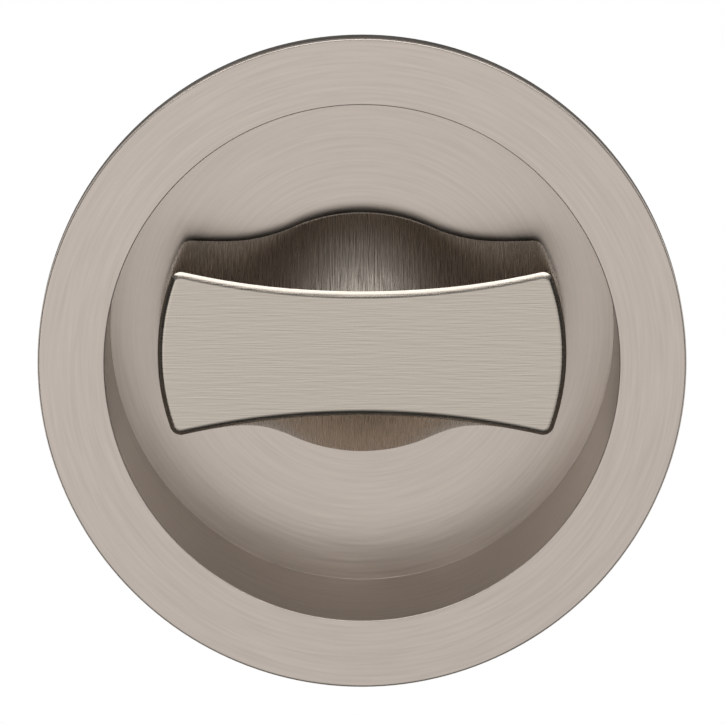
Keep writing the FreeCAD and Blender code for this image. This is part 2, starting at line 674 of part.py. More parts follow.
def make_spindle():
    """Square bar that turns the latch's hub, pinned in the stem's socket."""
    body = new_body("spindle")
    side = "size.spindle_side / 2"
    outline = new_sketch(body, "spindle_outline", FRONT_PLANE)
    draw_rectangle(outline, "-" + side, side, "-" + side, side)
    bar = pad(body, "bar", outline, "size.spindle_length")
    far = size("spindle_length")
    ends = edges_where(bar, lambda edge: abs(edge.BoundBox.YMin - far) < NEAR)
    bevel_edges(body, "spindle_bevel", bar, ends, "size.spindle_chamfer")
    pin_hole = new_sketch(body, "spindle_pin_hole_outline", TOP_PLANE)
    draw_circle(pin_hole, "size.pin_radius", "0", "size.socket_depth - size.pin_depth - size.end_play")
    pocket(body, "spindle_pin_hole", pin_hole, PAST_STEM, both_ways=True)
    place(body, depth="size.stem_end - size.socket_depth + size.end_play")


def make_spindle_pin():
    """Slit roll pin, upright, with both ends just inside the stem's skin."""
    length = "2 * (size.stem_radius - size.pin_recess)"
    tube = doc.addObject("Part::Cylinder", "pin_tube")
    tube.setExpression("Radius", "size.pin_radius")
    tube.setExpression("Height", length)
    core = doc.addObject("Part::Cylinder", "pin_core")
    core.setExpression("Radius", "size.pin_bore_radius")
    core.setExpression("Height", length)
    slit = doc.addObject("Part::Box", "pin_gap")
    slit.setExpression("Length", "2 * size.pin_radius")
    slit.setExpression("Width", "size.pin_slit")
    slit.setExpression("Height", length)
    slit.setExpression("Placement.Base.y", "-size.pin_slit / 2")
    hollow = doc.addObject("Part::Fuse", "pin_hollow")
    hollow.Base = core
    hollow.Tool = slit
    pin = doc.addObject("Part::Cut", "spindle_pin")
    pin.Label = "spindle_pin"
    pin.Base = tube
    pin.Tool = hollow
    place(pin, depth="size.stem_end - size.pin_depth", up="-size.stem_radius + size.pin_recess")


def make_detent_spring():
    """Hairpin of spring wire: its bend hooks round the post, its legs clasp the cam."""
    body = new_body("detent_spring")
    leg = size("leg_across")
    bend_level = -size("bend_level")
    tip = size("wire_tip_bend")
    top = size("wire_tip_height")
    slant = math.sqrt(0.5)
    route = new_sketch(body, "wire_route", FRONT_PLANE)
    route.addGeometry(Part.Arc(V(-leg - tip, top + tip, 0),
                               V(-leg - tip + tip * slant, top + tip * slant, 0), V(-leg, top, 0)))
    route.addGeometry(Part.LineSegment(V(-leg, top, 0), V(-leg, bend_level, 0)))
    route.addGeometry(Part.Arc(V(-leg, bend_level, 0), V(0, bend_level - leg, 0), V(leg, bend_level, 0)))
    route.addGeometry(Part.LineSegment(V(leg, bend_level, 0), V(leg, top, 0)))
    route.addGeometry(Part.Arc(V(leg, top, 0), V(leg + tip - tip * slant, top + tip * slant, 0),
                               V(leg + tip, top + tip, 0)))
    for edge, side in ((1, -1), (3, 1)):
        upper, lower = ("start", "end") if side < 0 else ("end", "start")
        hold_point(route, edge, POINT[upper], "%d * size.leg_across" % side, "size.wire_tip_height")
        hold_point(route, edge, POINT[lower], "%d * size.leg_across" % side, "-size.bend_level")
    section = new_sketch(body, "wire_section", SIDE_PLANE, "-(size.leg_across + size.wire_tip_bend)")
    draw_circle(section, "size.wire_radius", "0", "size.wire_tip_height + size.wire_tip_bend")
    doc.recompute()
    wire = body.newObject("PartDesign::AdditivePipe", "wire")
    wire.Profile = section
    wire.Spine = route
    doc.recompute()
    place(body, depth="size.wire_depth")


def make_spring_fixing():
    """Washer and pan-head screw that hold the hairpin down on its post."""
    washer = new_body("spring_washer")
    outline = new_sketch(washer, "spring_washer_outline", FRONT_PLANE)
    draw_circle(outline, "size.spring_washer_radius")
    draw_circle(outline, "size.spring_screw_radius + size.washer_clearance")
    pad(washer, "spring_washer_blank", outline, "size.spring_washer_thickness")
    place(washer, depth="size.wire_back", up="-size.post_level")
    screw = new_body("spring_screw")
    head = revolve(screw, "spring_screw_turned", [
        ("0", "0"),
        ("size.spring_screw_head_radius", "0"),
        ("size.spring_screw_head_radius", "size.spring_screw_head_height"),
        ("size.spring_screw_radius", "size.spring_screw_head_height"),
        ("size.spring_screw_radius", "size.spring_screw_head_height + size.spring_washer_thickness"
                                     " + size.spring_screw_length"),
        ("0", "size.spring_screw_head_height + size.spring_washer_thickness + size.spring_screw_length"),
    ])
    rim = edges_where(head, lambda edge: abs(edge.BoundBox.YMax) < NEAR)
    round_edges(screw, "head_rounding", head, rim, "size.spring_screw_head_height / 2")
    cross_recess(screw, "spring_screw_drive")
    # The head looks out of the door's inside, so the screw is turned about the upright axis
    screw.Placement.Rotation = FreeCAD.Rotation(V(0, 0, 1), 180)
    place(screw, depth="size.wire_back + size.spring_washer_thickness + size.spring_screw_head_height",
          up="-size.post_level")


def make_mounting_screw(name, side):
    """Countersunk machine screw, its head flush with the floor under the turn."""
    body = new_body(name)
    thread_start = "(size.thread_front - size.floor_depth)"
    revolve(body, name + "_turned", [
        ("0", "0"),
        ("size.screw_head_radius", "0"),
        ("size.screw_head_radius", "size.screw_head_rim"),
        ("size.screw_neck_radius", "size.screw_head_rim + size.screw_head_radius - size.screw_neck_radius"),
        ("size.screw_neck_radius", "%s - size.screw_radius + size.screw_neck_radius" % thread_start),
        ("size.screw_radius", thread_start),
        ("size.screw_radius", "size.screw_length - size.stem_chamfer"),
        ("size.screw_radius - size.stem_chamfer", "size.screw_length"),
        ("0", "size.screw_length"),
    ])
    cross_recess(body, name + "_drive")
    place(body, across="%d * size.mount_spacing / 2" % side, depth="size.floor_depth")


def make_screw_keeper(name, side):
    """Plastic washer on a mounting screw's neck, against its boss."""
    disc = doc.addObject("Part::Cylinder", name + "_disc")
    disc.setExpression("Radius", "size.keeper_radius")
    disc.setExpression("Height", "size.keeper_thickness")
    bore = doc.addObject("Part::Cylinder", name + "_bore")
    bore.setExpression("Radius", "size.screw_neck_radius + size.running_clearance")
    bore.setExpression("Height", "size.keeper_thickness")
    keeper = doc.addObject("Part::Cut", name)
    keeper.Label = name
    keeper.Base = disc
    keeper.Tool = bore
    # A cylinder stands along Z, so the washer is laid back to point into the door
    keeper.Placement.Rotation = FreeCAD.Rotation(V(1, 0, 0), -90)
    place(keeper, across="%d * size.mount_spacing / 2" % side, depth="size.keeper_front")


make_cup()
make_carrier()
make_bushing()
make_thumbturn()
make_washer("thrust_washer", "size.thrust_washer_thickness", "size.turn_base")
make_cam()
make_stop_washer()
make_wave_washer()
make_washer("flat_washer", "size.flat_washer_thickness", "size.flat_front")
make_retaining_ring()
make_stem()
make_spindle()
make_spindle_pin()
make_detent_spring()
make_spring_fixing()
for hand, side in (("left", -1), ("right", 1)):
    make_mounting_screw("mounting_screw_" + hand, side)
    make_screw_keeper("screw_keeper_" + hand, side)

# Every object is tested before anything is written

PIECES = [
    "cup", "carrier_plate", "stem_bushing", "detent_spring", "spring_washer", "spring_screw",
    "mounting_screw_left", "mounting_screw_right", "screw_keeper_left", "screw_keeper_right",
    "thumbturn", "stem", "thrust_washer", "detent_cam", "stop_washer", "wave_washer",
    "flat_washer", "retaining_ring", "spindle", "spindle_pin",
]

doc.recompute()
for item in doc.Objects:
    if "Invalid" in item.State or "Error" in item.State:
        raise RuntimeError("%s failed: %s" % (item.Name, item.State))
shapes = {name: doc.getObject(name).Shape for name in PIECES}
for name, shape in shapes.items():
    if shape.isNull() or not shape.isValid() or len(shape.Solids) != 1:
        raise RuntimeError("%s isn't one valid solid" % name)

os.makedirs("parts", exist_ok=True)
for name, shape in shapes.items():
    shape.exportStep("parts/%s.step" % name)
    print("%-22s %9.2f mm3" % (name, shape.Volume))
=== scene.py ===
# %% [markdown]
# # A flush privacy trim for a sliding door
#
# The real object is a round cup of satin nickel, let into a sliding door, with a
# bow-tie turn lying level in its recess. Behind the cup's floor sit a carrier plate, a
# hairpin spring, a stop, two long screws and a square spindle.
#
# The imported model already holds every solid at its real size. This lesson gives them
# surfaces that satin metal needs, and then finishes, light and a camera. The packed
# model's boxes give the finished pieces their sizes. The finished pieces have to stay
# inside it.

# %% Load the imported model
import bpy
import bmesh
import json
import math
from mathutils import Matrix, Vector


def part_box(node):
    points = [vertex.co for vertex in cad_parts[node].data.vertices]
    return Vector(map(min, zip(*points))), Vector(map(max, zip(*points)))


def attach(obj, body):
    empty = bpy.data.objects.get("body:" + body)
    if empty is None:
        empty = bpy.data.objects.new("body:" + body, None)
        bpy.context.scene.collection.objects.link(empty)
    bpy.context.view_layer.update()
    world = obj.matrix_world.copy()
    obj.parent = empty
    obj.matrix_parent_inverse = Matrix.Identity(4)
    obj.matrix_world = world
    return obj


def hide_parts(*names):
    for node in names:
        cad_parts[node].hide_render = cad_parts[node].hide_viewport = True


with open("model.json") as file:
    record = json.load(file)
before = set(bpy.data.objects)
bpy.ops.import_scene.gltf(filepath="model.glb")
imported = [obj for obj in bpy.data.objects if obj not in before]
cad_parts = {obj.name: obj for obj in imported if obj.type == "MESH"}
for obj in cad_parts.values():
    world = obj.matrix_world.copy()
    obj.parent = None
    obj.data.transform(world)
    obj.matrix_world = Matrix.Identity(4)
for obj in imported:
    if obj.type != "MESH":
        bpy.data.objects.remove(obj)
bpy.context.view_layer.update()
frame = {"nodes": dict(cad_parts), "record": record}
MM = 0.001
print("nodes:", len(frame["nodes"]))

# %% [markdown]
# ## The camera
#
# The photograph looks down at the plate from about 18 degrees, and yet the plate is a
# true circle in it. A plain camera that looks down would flatten the circle. A shifted
# lens could keep it round, but it would need a shift of nearly three picture widths.
#
# So the camera is leaned instead. Its own right and up axes stay in the plane of the
# plate, and only its line of sight is tilted. Such a leaning camera is a sheared one, and
# a camera can't hold a shear by itself. An empty that is scaled unevenly along two
# slanting axes hands it down to the camera that is its child.

# %% Camera values
cup_low, cup_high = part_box("cup")
plate_front = cup_low.y
plate_radius = cup_high.x
look_down = math.radians(17.96)
eye_distance = 577 * MM
frame_half_width = 35.4 * MM
photo_lift = 0.1 * MM
print("plate radius %.2f mm" % (plate_radius / MM))


# %% Camera helper
def leaning_camera(target, distance, tilt, half_width):
    """A camera that keeps the plane facing it undistorted while it looks down on it."""
    camera_data = bpy.data.cameras.new("photo_camera")
    camera_data.sensor_width = 36
    camera_data.lens = camera_data.sensor_width / 2 * distance / math.cos(tilt) / half_width
    camera_data.clip_start = 0.01
    camera_data.clip_end = 200
    camera = bpy.data.objects.new("photo_camera", camera_data)
    empty = bpy.data.objects.new("camera_lean", None)
    for thing in (empty, camera):
        bpy.context.scene.collection.objects.link(thing)
    back = Vector((0, -math.cos(tilt), math.sin(tilt)))
    wanted = Matrix(((1, 0, 0), (0, 0, 1), back)).transposed()
    # The lean is split into a turn, an uneven scale along slanting axes, and a turn back
    slant = Matrix.Rotation(math.radians(45), 3, "X")
    scale = Matrix.Diagonal((1, math.sqrt(1 - math.sin(tilt)), math.sqrt(1 + math.sin(tilt))))
    turn = wanted @ slant @ scale.inverted()
    eye = target + back * (distance / math.cos(tilt))
    empty.matrix_basis = Matrix.Translation(eye) @ (turn @ scale).to_4x4()
    camera.parent = empty
    camera.matrix_basis = slant.transposed().to_4x4()
    return camera


# %% Place the camera
photo_camera = leaning_camera(Vector((0, plate_front, photo_lift)), eye_distance, look_down,
                              frame_half_width)
bpy.context.scene.camera = photo_camera
bpy.context.view_layer.update()
for axis in range(3):
    print("camera axis", [round(v, 4) for v in photo_camera.matrix_world.col[axis][:3]])

# %% [markdown]
# ## The studio
#
# A satin metal shows its surroundings, softly, so the studio is most of its colour. Lamps
# all round could light it, but each would leave its own spot. A photographer rather builds
# a bright tent and hangs dark cards in it, and that is done here with a world.
#
# The world's brightness depends only on direction. The half in front of the door is the
# product of two ramps, one over a direction's height and one over its bearing. It is
# brightest just below the horizon, grey above it, and dark at the zenith and right below.
# Dark cards stand at both sides and end a little above the horizon. They draw the dark
# outline round the turn.
#
# The half beside and behind the door is a dimmer, even grey, so the object keeps its shape
# from there too. One small dark card right behind it gives the plate's edge its dark line.
# What the camera sees behind the object is white paper. Only camera rays see that, so it
# adds no light.

# %% Node shorthand
def add(tree, kind, inputs=None, **settings):
    """A node with its settings, and with values or links for its inputs."""
    node = tree.nodes.new(kind)
    for key, value in settings.items():
        setattr(node, key, value)
    for key, value in (inputs or {}).items():
        if isinstance(value, bpy.types.NodeSocket):
            tree.links.new(value, node.inputs[key])
        else:
            node.inputs[key].default_value = value
    return node


def grey(level):
    """An opaque grey."""
    return (level, level, level, 1)


def grey_ramp(tree, value, stops):
    """A ramp of greys over places from 0 to 1."""
    ramp = add(tree, "ShaderNodeValToRGB", {"Fac": value})
    elements = ramp.color_ramp.elements
    while len(elements) < len(stops):
        elements.new(1.0)
    for element, (place, level) in zip(elements, stops):
        element.position = place
        element.color = grey(level)
    return ramp.outputs["Color"]


# %% World values
# Heights are sines, from -1 straight down to 1 straight up. Bearings are in degrees, to
# the left and to the right of straight ahead. The second number is always a level.
AHEAD_BY_HEIGHT = [
    (-1.00, 0.03), (-0.88, 0.05), (-0.78, 0.30), (-0.62, 0.50), (-0.45, 0.76),
    (-0.26, 0.98), (-0.10, 1.00), (0.05, 0.94), (0.20, 0.37), (0.31, 0.22),
    (0.50, 0.14), (0.88, 0.03), (0.95, 0.02), (1.00, 0.02),
]
AHEAD_BY_BEARING = [
    (-84, 0.03), (-47, 0.03), (-40, 1.00), (-25, 0.90), (0, 0.80),
    (25, 0.70), (45, 0.60), (52, 0.03), (84, 0.03),
]
AROUND_BY_HEIGHT = [
    (-1.00, 0.20), (-0.80, 0.40), (-0.50, 0.60), (0.10, 0.65), (0.60, 0.50),
    (0.86, 0.25), (0.94, 0.03), (1.00, 0.02),
]
# Heights between which the side cards fade out, and the level over them
CARD_TOP = (0.20, 0.35)
LEVEL_OVER_CARDS = 0.75
# How far back a direction points, from 0 beside the object to 1 right behind it: where the
# surround takes over from the front, and where the card behind the object begins
AROUND_FROM = (-0.20, 0.00)
BACK_CARD = (0.74, 0.86)
BACK_CARD_LEVEL = 0.04
TENT_LEVEL = 1.58
print("ramp stops:", len(AHEAD_BY_HEIGHT), len(AHEAD_BY_BEARING), len(AROUND_BY_HEIGHT))


# %% World
def levels_on(tree, value, stops, low, high):
    """A ramp of greys whose stops are given in the value's own range."""
    place = add(tree, "ShaderNodeMapRange", {"Value": value, "From Min": low, "From Max": high})
    return grey_ramp(tree, place.outputs["Result"],
                     [((stop - low) / (high - low), level) for stop, level in stops])


def mixed(tree, factor, one, other, blend="MIX"):
    """A mix of two colours."""
    return add(tree, "ShaderNodeMix", {"Factor": factor, "A": one, "B": other},
               data_type="RGBA", blend_type=blend).outputs[2]


def make_world():
    """A tent whose brightness depends on the height and the bearing of a direction."""
    world = bpy.data.worlds.new("studio_tent")
    world.use_nodes = True
    tree = world.node_tree
    direction = add(tree, "ShaderNodeTexCoord")
    split = add(tree, "ShaderNodeSeparateXYZ", {0: direction.outputs["Generated"]})
    across, back, up = split.outputs
    ahead = add(tree, "ShaderNodeMath", {0: back, 1: -1.0}, operation="MULTIPLY")
    bearing = add(tree, "ShaderNodeMath", {0: across, 1: ahead.outputs[0]}, operation="ARCTAN2")
    degrees = add(tree, "ShaderNodeMath", {0: bearing.outputs[0]}, operation="DEGREES")
    cards = levels_on(tree, degrees.outputs[0], AHEAD_BY_BEARING, -90, 90)
    over_cards = add(tree, "ShaderNodeMapRange",
                     {"Value": up, "From Min": CARD_TOP[0], "From Max": CARD_TOP[1]})
    side_to_side = mixed(tree, over_cards.outputs["Result"], cards, grey(LEVEL_OVER_CARDS))
    front_heights = levels_on(tree, up, AHEAD_BY_HEIGHT, -1, 1)
    in_front = mixed(tree, 1.0, front_heights, side_to_side, "MULTIPLY")
    back_card = add(tree, "ShaderNodeMapRange",
                    {"Value": back, "From Min": BACK_CARD[0], "From Max": BACK_CARD[1],
                     "To Min": 1.0, "To Max": BACK_CARD_LEVEL})
    around_heights = levels_on(tree, up, AROUND_BY_HEIGHT, -1, 1)
    around = mixed(tree, 1.0, around_heights, back_card.outputs["Result"], "MULTIPLY")
    sideways = add(tree, "ShaderNodeMapRange",
                   {"Value": back, "From Min": AROUND_FROM[0], "From Max": AROUND_FROM[1]})
    tent = add(tree, "ShaderNodeVectorMath",
               {0: mixed(tree, sideways.outputs["Result"], in_front, around), "Scale": TENT_LEVEL},
               operation="SCALE")
    path = add(tree, "ShaderNodeLightPath")
    seen = mixed(tree, path.outputs["Is Camera Ray"], tent.outputs["Vector"], grey(1))
    tree.links.new(seen, tree.nodes["Background"].inputs["Color"])
    bpy.context.scene.world = world
    return world


studio_tent = make_world()
bpy.context.scene.view_settings.view_transform = "Standard"
print("world:", studio_tent.name)

# %% [markdown]
# ## The floor
#
# The lock hangs at the height of a door handle, a metre above a wide pale floor. Near the
# object the floor is plain paint, so it keeps the object's shadow. Further away it fades
# into white paper for the camera. Mirror-like rays pass through it to the tent, whose
# lower half stands for the lit floor as the metal sees it.

# %% Floor
FLOOR_DROP = 1.0
STUDIO_FLOOR_RADIUS = 60
FLOOR_PAINT = 0.8
PAPER_FROM, PAPER_TO = 0.25, 0.8


def make_floor():
    """A wide round floor, plain right below the object and white paper further away."""
    mesh = bpy.data.meshes.new("studio_floor")
    bm = bmesh.new()
    bmesh.ops.create_circle(bm, cap_ends=True, segments=64, radius=STUDIO_FLOOR_RADIUS)
    bmesh.ops.translate(bm, verts=bm.verts, vec=(0, 0, -FLOOR_DROP))
    bm.to_mesh(mesh)
    bm.free()
    floor = bpy.data.objects.new("studio_floor", mesh)
    bpy.context.scene.collection.objects.link(floor)
    material = bpy.data.materials.new("pale_floor")
    material.use_nodes = True
    tree = material.node_tree
    paint = tree.nodes["Principled BSDF"]
    paint.inputs["Base Color"].default_value = grey(FLOOR_PAINT)
    paint.inputs["Roughness"].default_value = 1
    paint.inputs["Specular IOR Level"].default_value = 0
    where = add(tree, "ShaderNodeTexCoord")
    flat = add(tree, "ShaderNodeVectorMath", {0: where.outputs["Object"], 1: (1, 1, 0)},
               operation="MULTIPLY")
    reach = add(tree, "ShaderNodeVectorMath", {0: flat.outputs["Vector"]}, operation="LENGTH")
    away = add(tree, "ShaderNodeMapRange",
               {"Value": reach.outputs["Value"], "From Min": PAPER_FROM, "From Max": PAPER_TO},
               interpolation_type="SMOOTHSTEP")
    path = add(tree, "ShaderNodeLightPath")
    paper_share = add(tree, "ShaderNodeMath",
                      {0: path.outputs["Is Camera Ray"], 1: away.outputs["Result"]},
                      operation="MULTIPLY")
    paper = add(tree, "ShaderNodeEmission", {"Color": grey(1)})
    clear = add(tree, "ShaderNodeBsdfTransparent")
    mirror_like = add(tree, "ShaderNodeMath",
                      {0: path.outputs["Is Glossy Ray"], 1: path.outputs["Is Transmission Ray"]},
                      operation="MAXIMUM")
    seen = add(tree, "ShaderNodeMixShader",
               {0: paper_share.outputs[0], 1: paint.outputs["BSDF"], 2: paper.outputs["Emission"]})
    result = add(tree, "ShaderNodeMixShader",
                 {0: mirror_like.outputs[0], 1: seen.outputs["Shader"], 2: clear.outputs["BSDF"]})
    tree.links.new(result.outputs["Shader"], tree.nodes["Material Output"].inputs["Surface"])
    floor.data.materials.append(material)


make_floor()
print("floor", FLOOR_DROP, "m below the turn's axis")

# %% [markdown]
# ## The lamps
#
# Two soft lamps hang in front of the door and aim at the turn. The long one is what draws
# the white line on the turn's upper edge. The small one hangs nearly overhead, and the
# middle of the flared hub mirrors it. Both could be brighter patches in the world, but a
# lamp is sampled directly and so gives a cleaner picture.

# %% Lamps
LAMP_DISTANCE = 0.93
LONG_LAMP_HEIGHT = math.radians(55)
LONG_LAMP_SIZE = (1.8, 0.42)
LONG_LAMP_LEVEL = 3.0
SMALL_LAMP_HEIGHT = math.radians(75)
SMALL_LAMP_SIZE = (0.12, 0.12)
SMALL_LAMP_LEVEL = 1.7


def soft_lamp(name, height, sides, level):
    """A soft lamp in front, at an angle above the horizon. Level is how bright its face looks."""
    place = LAMP_DISTANCE * Vector((0, -math.cos(height), math.sin(height)))
    data = bpy.data.lights.new(name, "AREA")
    data.shape = "RECTANGLE"
    data.size, data.size_y = sides
    data.energy = level * math.pi * data.size * data.size_y
    lamp = bpy.data.objects.new(name, data)
    bpy.context.scene.collection.objects.link(lamp)
    lamp.location = place
    lamp.rotation_mode = "QUATERNION"
    lamp.rotation_quaternion = (-place).to_track_quat("-Z", "Y")


soft_lamp("high_soft_lamp", LONG_LAMP_HEIGHT, LONG_LAMP_SIZE, LONG_LAMP_LEVEL)
soft_lamp("overhead_lamp", SMALL_LAMP_HEIGHT, SMALL_LAMP_SIZE, SMALL_LAMP_LEVEL)
print("lamps:", len(bpy.data.lights))

# %% [markdown]
# ## Brushed nickel
#
# Satin nickel is plated over brass and then brushed. The cup was brushed on a lathe, so
# fine rings run round its axis. The turn was brushed lengthwise on its front face and
# along its depth on its flanks.
#
# A fine line could be painted as one long wave, but real brush marks start and stop. Noise
# that is squeezed across the lines and stretched along them does that by itself. One node
# group makes it for every metal here. It puts out a colour, a roughness and a height, and
# the shader stays in each material.
#
# A belt leaves crisper lines than a lathe. For those, the same noise a little to the side
# is taken away from the noise itself. Only what changes quickly across the lines is left.

# %% Group: brushed lines
NOISE_DETAIL = 1.5
STEP_ASIDE = 0.7
MARK_GAIN = 4.0


def centred_noise(tree, vector):
    """Noise that swings about zero."""
    noise = add(tree, "ShaderNodeTexNoise",
                {"Vector": vector, "Scale": 1, "Detail": NOISE_DETAIL, "Roughness": 0.5})
    return add(tree, "ShaderNodeMath", {0: noise.outputs["Fac"], 1: 0.5}, operation="SUBTRACT")


def make_brushed_lines():
    """Marks that are fine along the vector's X, and long along its Y and Z."""
    group = bpy.data.node_groups.new("brushed_lines", "ShaderNodeTree")
    face = group.interface
    face.new_socket("Vector", in_out="INPUT", socket_type="NodeSocketVector")
    for label in ("Crispness", "Color Shift", "Roughness", "Roughness Shift"):
        face.new_socket(label, in_out="INPUT", socket_type="NodeSocketFloat")
    face.new_socket("Color", in_out="INPUT", socket_type="NodeSocketColor")
    face.new_socket("Color", in_out="OUTPUT", socket_type="NodeSocketColor")
    face.new_socket("Roughness", in_out="OUTPUT", socket_type="NodeSocketFloat")
    face.new_socket("Height", in_out="OUTPUT", socket_type="NodeSocketFloat")
    given = group.nodes.new("NodeGroupInput").outputs
    result = group.nodes.new("NodeGroupOutput").inputs
    beside = add(group, "ShaderNodeVectorMath", {0: given["Vector"], 1: (STEP_ASIDE, 0, 0)},
                 operation="ADD")
    here = centred_noise(group, given["Vector"])
    there = centred_noise(group, beside.outputs["Vector"])
    taken = add(group, "ShaderNodeMath", {0: there.outputs[0], 1: given["Crispness"]},
                operation="MULTIPLY")
    height = add(group, "ShaderNodeMath", {0: here.outputs[0], 1: taken.outputs[0]},
                 operation="SUBTRACT")
    mark = add(group, "ShaderNodeMath", {0: height.outputs[0], 1: MARK_GAIN}, operation="MULTIPLY")
    shade = add(group, "ShaderNodeMath", {0: mark.outputs[0], 1: given["Color Shift"], 2: 1.0},
                operation="MULTIPLY_ADD")
    tinted = add(group, "ShaderNodeVectorMath", {0: given["Color"], "Scale": shade.outputs[0]},
                 operation="SCALE")
    rough = add(group, "ShaderNodeMath",
                {0: mark.outputs[0], 1: given["Roughness Shift"], 2: given["Roughness"]},
                operation="MULTIPLY_ADD")
    group.links.new(tinted.outputs["Vector"], result["Color"])
    group.links.new(rough.outputs[0], result["Roughness"])
    group.links.new(height.outputs[0], result["Height"])
    return group


brushed_lines = make_brushed_lines()
print("group:", brushed_lines.name)


# %% Helper: a marked surface
ROUGHNESS_SHIFT = 0.03
BUMP_DISTANCE = 0.02 * MM


def marked_surface(name, colour, roughness, lay_marks, bump=0.15, shift=0.05, crispness=0.0,
                   metallic=1.0):
    """A material with marks. lay_marks builds their vector, their depth and a dullness."""
    material = bpy.data.materials.new(name)
    material.use_nodes = True
    tree = material.node_tree
    shader = tree.nodes["Principled BSDF"]
    shader.inputs["Metallic"].default_value = metallic
    lines = add(tree, "ShaderNodeGroup", node_tree=brushed_lines)
    vector, mark_depth, dullness = lay_marks(tree)
    tree.links.new(vector, lines.inputs["Vector"])
    lines.inputs["Crispness"].default_value = crispness
    lines.inputs["Color Shift"].default_value = shift
    dulled = add(tree, "ShaderNodeMath", {0: dullness, 1: roughness}, operation="MULTIPLY")
    tree.links.new(dulled.outputs[0], lines.inputs["Roughness"])
    lines.inputs["Roughness Shift"].default_value = ROUGHNESS_SHIFT
    lines.inputs["Color"].default_value = (*colour, 1)
    strength = add(tree, "ShaderNodeMath", {0: mark_depth, 1: bump}, operation="MULTIPLY")
    bumped = add(tree, "ShaderNodeBump",
                 {"Height": lines.outputs["Height"], "Strength": strength.outputs[0],
                  "Distance": BUMP_DISTANCE})
    tree.links.new(lines.outputs["Color"], shader.inputs["Base Color"])
    tree.links.new(lines.outputs["Roughness"], shader.inputs["Roughness"])
    tree.links.new(bumped.outputs["Normal"], shader.inputs["Normal"])
    return material


# %% Helper: rings of a lathe
def lathe_rings(lines_per_mm, drift_per_mm):
    """Rings round the Y axis: the radius plus the depth, so that walls get rings too."""
    def build(tree):
        where = add(tree, "ShaderNodeTexCoord")
        split = add(tree, "ShaderNodeSeparateXYZ", {0: where.outputs["Object"]})
        flat = add(tree, "ShaderNodeCombineXYZ", {"X": split.outputs["X"], "Z": split.outputs["Z"]})
        radius = add(tree, "ShaderNodeVectorMath", {0: flat.outputs[0]}, operation="LENGTH")
        along = add(tree, "ShaderNodeMath", {0: radius.outputs["Value"], 1: split.outputs["Y"]},
                    operation="ADD")
        fine = add(tree, "ShaderNodeMath", {0: along.outputs[0], 1: lines_per_mm / MM},
                   operation="MULTIPLY")
        drift = add(tree, "ShaderNodeVectorMath", {0: flat.outputs[0], "Scale": drift_per_mm / MM},
                    operation="SCALE")
        parts = add(tree, "ShaderNodeSeparateXYZ", {0: drift.outputs["Vector"]})
        joined = add(tree, "ShaderNodeCombineXYZ",
                     {"X": fine.outputs[0], "Y": parts.outputs["X"], "Z": parts.outputs["Z"]})
        return joined.outputs[0], 1.0, 1.0
    return build


# %% Helper: marks of a belt
# How squarely the rim and the front look out of the door: 1 is straight ahead
RIM_FACING, FRONT_FACING = 0.75, 0.97
# The rim is glossier than the rest, up to where it rounds into the front
RIM_DULLNESS = 0.6
GLOSS_FADES = (0.87, 0.92)


def belt_marks(lines_per_mm, drift_per_mm, flank_depth):
    """Marks along X on the front, along the depth on the flanks, and none on the rim."""
    def build(tree):
        where = add(tree, "ShaderNodeTexCoord")
        split = add(tree, "ShaderNodeSeparateXYZ", {0: where.outputs["Object"]})
        facing = add(tree, "ShaderNodeSeparateXYZ", {0: where.outputs["Normal"]})
        outward = add(tree, "ShaderNodeMath", {0: facing.outputs["Y"]}, operation="ABSOLUTE")
        is_face = add(tree, "ShaderNodeMath", {0: outward.outputs[0], 1: RIM_FACING},
                      operation="GREATER_THAN")
        lengthwise = add(tree, "ShaderNodeCombineXYZ",
                         {"X": split.outputs["Z"], "Y": split.outputs["X"], "Z": split.outputs["Y"]})
        chosen = add(tree, "ShaderNodeMix", {"Factor": is_face.outputs[0]}, data_type="VECTOR")
        tree.links.new(where.outputs["Object"], chosen.inputs["A"])
        tree.links.new(lengthwise.outputs[0], chosen.inputs["B"])
        slow = drift_per_mm / MM
        scaled = add(tree, "ShaderNodeVectorMath",
                     {0: chosen.outputs["Result"], 1: (lines_per_mm / MM, slow, slow)},
                     operation="MULTIPLY")
        is_front = add(tree, "ShaderNodeMath", {0: outward.outputs[0], 1: FRONT_FACING},
                       operation="GREATER_THAN")
        mark_depth = add(tree, "ShaderNodeMix",
                         {"Factor": is_face.outputs[0], "A": flank_depth, "B": is_front.outputs[0]})
        face_dullness = add(tree, "ShaderNodeMapRange",
                            {"Value": outward.outputs[0], "From Min": GLOSS_FADES[0],
                             "From Max": GLOSS_FADES[1], "To Min": RIM_DULLNESS, "To Max": 1.0})
        dullness = add(tree, "ShaderNodeMix",
                       {"Factor": is_face.outputs[0], "A": 1.0, "B": face_dullness.outputs["Result"]})
        return scaled.outputs[0], mark_depth.outputs[0], dullness.outputs[0]
    return build


# %% The nickel finishes
CUP_NICKEL = (0.505, 0.447, 0.398)
TURN_NICKEL = (0.446, 0.399, 0.346)
cup_rings = lathe_rings(lines_per_mm=3.4, drift_per_mm=0.15)
turn_lines = belt_marks(lines_per_mm=8.0, drift_per_mm=0.28, flank_depth=10.0)
ring_nickel = marked_surface("satin_nickel_rings", CUP_NICKEL, 0.36, cup_rings, shift=0.09)
belt_nickel = marked_surface("satin_nickel_belt", TURN_NICKEL, 0.27, turn_lines,
                            bump=0.20, shift=0.15, crispness=1.0)
print("finishes:", ring_nickel.name, belt_nickel.name)
